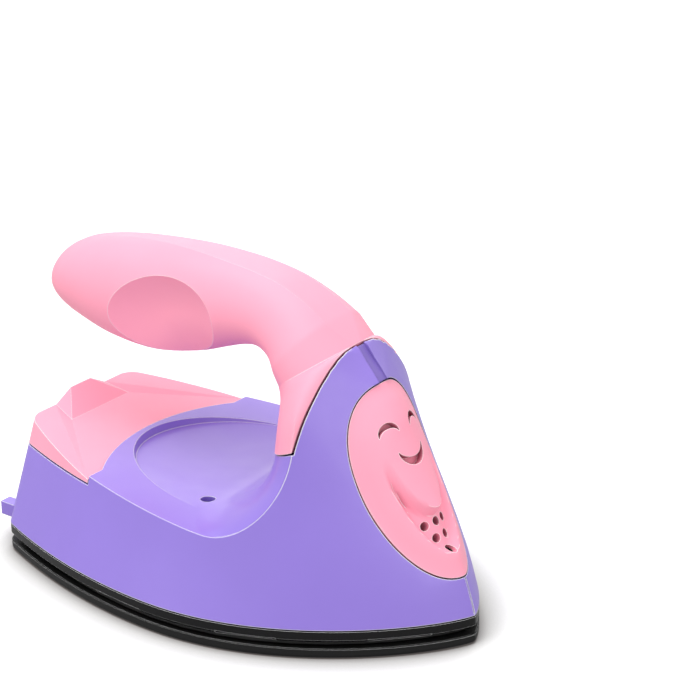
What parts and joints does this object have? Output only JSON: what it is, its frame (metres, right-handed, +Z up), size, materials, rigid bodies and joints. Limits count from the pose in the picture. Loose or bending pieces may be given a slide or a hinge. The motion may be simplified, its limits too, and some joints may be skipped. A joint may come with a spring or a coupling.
{
  "type": "mini craft iron",
  "caption": "Mini craft iron with a pointed coated sole, dished housing, faceted heel panel, oval smiling vent panel and a curved grip over the deck.",
  "frame": {"origin": "centre of the sole's length on the sole's ironing face", "axes": "+X towards the nose, +Z up from the ironing face, -Y the side seen in the picture"},
  "size_m": [0.1096, 0.0676, 0.069],
  "materials": {
    "coated_aluminium": "satin non-stick coating",
    "silicone": "matt",
    "black_plastic": "gloss",
    "purple_plastic": "satin gloss",
    "pink_plastic": "satin gloss",
    "ceramic": "matt",
    "mica": "matt",
    "steel": "zinc plated",
    "brass": "bright",
    "sleeve": "matt"
  },
  "bodies": {
    "root": {"soleplate": "coated_aluminium", "plate_gasket": "silicone", "heat_shield": "black_plastic", "body_shell": "purple_plastic", "face_panel": "pink_plastic", "heel_panel": "pink_plastic", "handle_left": "pink_plastic", "handle_right": "pink_plastic", "heating_element": "ceramic", "mica_sheet": "mica", "heater_clamp": "steel", "clamp_screw_front": "steel", "clamp_screw_rear": "steel", "thermostat": "ceramic", "thermal_fuse": "steel", "fuse_clip": "steel", "dish_screw_left": "steel", "dish_screw_right": "steel", "heel_screw_left": "steel", "heel_screw_right": "steel", "shield_screw_left": "steel", "shield_screw_right": "steel", "shield_screw_nose": "steel", "foot_screw_left": "steel", "foot_screw_right": "steel", "terminal_block": "black_plastic", "contact_pin_left": "brass", "contact_pin_right": "brass", "lead_wire_left": "sleeve", "lead_wire_right": "sleeve", "jumper_wire": "sleeve"}
  },
  "joints": []
}
